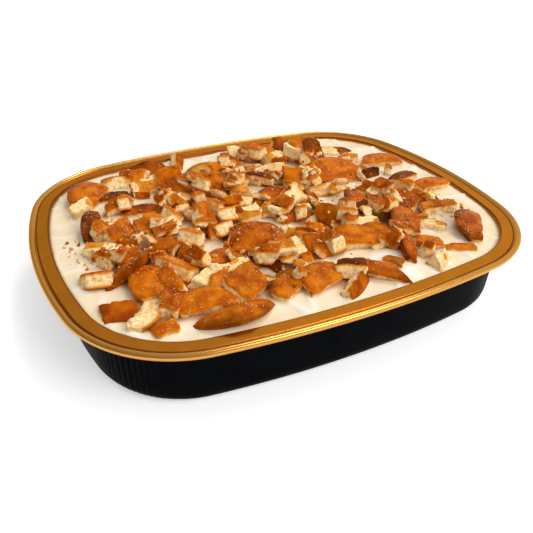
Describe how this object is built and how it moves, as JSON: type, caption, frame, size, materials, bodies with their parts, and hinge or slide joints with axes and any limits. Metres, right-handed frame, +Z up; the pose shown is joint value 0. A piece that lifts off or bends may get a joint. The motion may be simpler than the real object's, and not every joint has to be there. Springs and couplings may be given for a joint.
{
  "type": "banana pudding in a foil tray",
  "caption": "Banana pudding filling a shallow rounded foil tray with a flat flange and rolled bead, its pale cream top strewn with broken vanilla wafers.",
  "frame": {"origin": "centre of the tray's bounding box, on the surface that it stands on", "axes": "+Z up; the tray's long sides run along X, its short sides along Y"},
  "size_m": [0.228, 0.1836, 0.0466],
  "materials": {
    "foil_gold": "satin",
    "foil_black": "satin",
    "cream": "satin",
    "wafer_gold": "matte",
    "wafer_brown": "matte",
    "wafer_dark": "matte",
    "wafer_pale": "matte"
  },
  "bodies": {
    "root": {"tray": "foil_gold", "pudding": "cream", "wafer_01": "wafer_brown", "wafer_02": "wafer_pale", "wafer_03": "wafer_brown", "wafer_04": "wafer_brown", "wafer_05": "wafer_gold", "wafer_06": "wafer_gold", "wafer_07": "wafer_gold", "wafer_08": "wafer_gold", "wafer_09": "wafer_brown", "wafer_10": "wafer_brown", "wafer_11": "wafer_gold", "wafer_12": "wafer_gold", "wafer_13": "wafer_gold", "wafer_14": "wafer_brown", "wafer_15": "wafer_dark", "wafer_16": "wafer_gold", "wafer_17": "wafer_gold", "wafer_18": "wafer_gold", "wafer_19": "wafer_brown", "wafer_20": "wafer_pale", "wafer_21": "wafer_brown", "wafer_22": "wafer_pale", "wafer_23": "wafer_brown", "wafer_24": "wafer_gold", "wafer_25": "wafer_pale", "wafer_26": "wafer_gold", "wafer_27": "wafer_gold", "wafer_28": "wafer_dark", "wafer_29": "wafer_gold", "wafer_30": "wafer_brown", "wafer_31": "wafer_brown", "wafer_32": "wafer_pale", "wafer_33": "wafer_gold", "wafer_34": "wafer_gold", "wafer_35": "wafer_pale", "wafer_36": "wafer_gold", "wafer_37": "wafer_pale", "wafer_38": "wafer_dark", "wafer_39": "wafer_brown", "wafer_40": "wafer_gold", "wafer_41": "wafer_gold", "wafer_42": "wafer_brown", "wafer_43": "wafer_brown", "wafer_44": "wafer_gold", "wafer_45": "wafer_gold", "wafer_46": "wafer_gold", "wafer_47": "wafer_brown", "wafer_48": "wafer_gold", "wafer_49": "wafer_gold", "wafer_50": "wafer_gold", "wafer_51": "wafer_gold", "wafer_52": "wafer_brown", "wafer_53": "wafer_brown", "wafer_54": "wafer_gold", "wafer_55": "wafer_pale", "wafer_56": "wafer_gold", "wafer_57": "wafer_brown", "wafer_58": "wafer_gold"}
  },
  "joints": []
}
